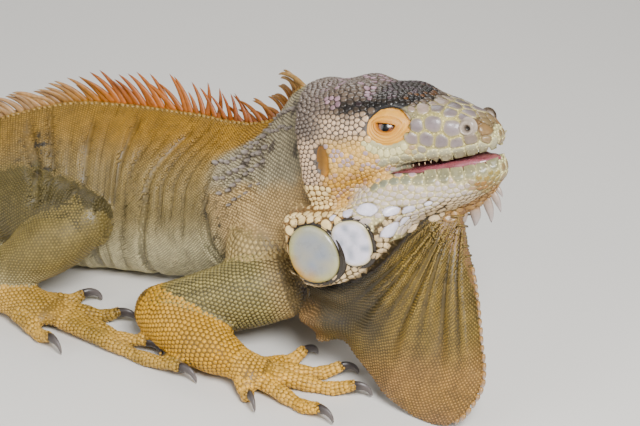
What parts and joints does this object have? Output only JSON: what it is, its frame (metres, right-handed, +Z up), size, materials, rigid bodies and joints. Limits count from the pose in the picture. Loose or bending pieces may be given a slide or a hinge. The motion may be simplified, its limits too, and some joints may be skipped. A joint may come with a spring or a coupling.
{
  "type": "green iguana figure",
  "caption": "Large lizard lying at rest with raised head, slightly open mouth, deep throat flap, spined crest, clawed feet and a long tapering tail; a still display model.",
  "frame": {"origin": "on the flat under the belly, below the middle of the trunk, at floor level", "axes": "+X towards the head, -X along the tail, +Y to the animal's left, +Z up"},
  "size_m": [1.3111, 0.3071, 0.1678],
  "materials": {
    "hide": "dry scaled hide, satin",
    "limb": "dry scaled hide, satin",
    "face": "plated scales, half gloss",
    "dewlap": "fine beaded hide, satin",
    "ear_plate": "one smooth pearly scale, glossy",
    "eardrum": "thin membrane, satin",
    "eye": "wet, dark, glossy",
    "mouth": "moist lining",
    "claw": "horn, half gloss"
  },
  "bodies": {
    "root": {"claw_1_fore_left": "claw", "claw_1_fore_right": "claw", "claw_1_hind_left": "claw", "claw_1_hind_right": "claw", "claw_2_fore_left": "claw", "claw_2_fore_right": "claw", "claw_2_hind_left": "claw", "claw_2_hind_right": "claw", "claw_3_fore_left": "claw", "claw_3_fore_right": "claw", "claw_3_hind_left": "claw", "claw_3_hind_right": "claw", "claw_4_fore_left": "claw", "claw_4_fore_right": "claw", "claw_4_hind_left": "claw", "claw_4_hind_right": "claw", "claw_5_fore_left": "claw", "claw_5_fore_right": "claw", "claw_5_hind_left": "claw", "claw_5_hind_right": "claw", "dewlap": "dewlap", "ear_left": "eardrum", "ear_plate_left": "ear_plate", "ear_plate_right": "ear_plate", "ear_right": "eardrum", "eye_left": "eye", "eye_right": "eye", "foot_hind_left": "limb", "foot_hind_right": "limb", "forearm_fore_left": "limb", "forearm_fore_right": "limb", "hand_fore_left": "limb", "hand_fore_right": "limb", "head": "face", "lower_jaw": "face", "neck": "hide", "pelvis": "hide", "shin_hind_left": "limb", "shin_hind_right": "limb", "shoulder_fore_left": "limb", "shoulder_fore_right": "limb", "tail_base": "hide", "tail_lower": "hide", "tail_middle": "hide", "tail_tip": "hide", "tail_upper": "hide", "thigh_hind_left": "limb", "thigh_hind_right": "limb", "tongue": "mouth", "trunk_front": "hide", "trunk_rear": "hide", "upper_arm_fore_left": "limb", "upper_arm_fore_right": "limb"}
  },
  "joints": []
}
